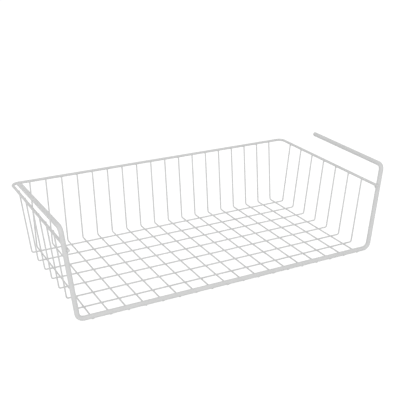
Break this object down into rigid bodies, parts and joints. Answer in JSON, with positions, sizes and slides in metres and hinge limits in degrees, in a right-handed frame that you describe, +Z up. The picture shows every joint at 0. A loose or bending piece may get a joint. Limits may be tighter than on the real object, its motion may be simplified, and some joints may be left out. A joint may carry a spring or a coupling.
{
  "type": "under shelf basket",
  "caption": "White coated welded wire basket, open at the front and top, that hangs below a shelf board by two arms that slide over it.",
  "frame": {"origin": "on the plane that the basket's floor wires stand on, at the middle of the bounding box in X and Y", "axes": "+X to the right across the open front, +Y from the front to the back, the way the arms point, +Z up"},
  "size_m": [0.5074, 0.2638, 0.1386],
  "materials": {
    "hanger_coat": "satin white coating on the hanger frame's thick steel wire",
    "rim_coat": "satin white coating on the rim's medium steel wire",
    "mesh_coat": "satin white coating on the thin mesh wires"
  },
  "bodies": {
    "root": {"hanger_frame": "hanger_coat", "rim_wire": "rim_coat", "cross_wire_01": "mesh_coat", "cross_wire_02": "mesh_coat", "cross_wire_03": "mesh_coat", "cross_wire_04": "mesh_coat", "cross_wire_05": "mesh_coat", "cross_wire_06": "mesh_coat", "cross_wire_07": "mesh_coat", "cross_wire_08": "mesh_coat", "cross_wire_09": "mesh_coat", "cross_wire_10": "mesh_coat", "cross_wire_11": "mesh_coat", "cross_wire_12": "mesh_coat", "cross_wire_13": "mesh_coat", "cross_wire_14": "mesh_coat", "cross_wire_15": "mesh_coat", "cross_wire_16": "mesh_coat", "cross_wire_17": "mesh_coat", "cross_wire_18": "mesh_coat", "long_wire_1": "mesh_coat", "long_wire_2": "mesh_coat", "long_wire_3": "mesh_coat", "long_wire_4": "mesh_coat", "long_wire_5": "mesh_coat", "long_wire_6": "mesh_coat", "long_wire_7": "mesh_coat"}
  },
  "joints": []
}
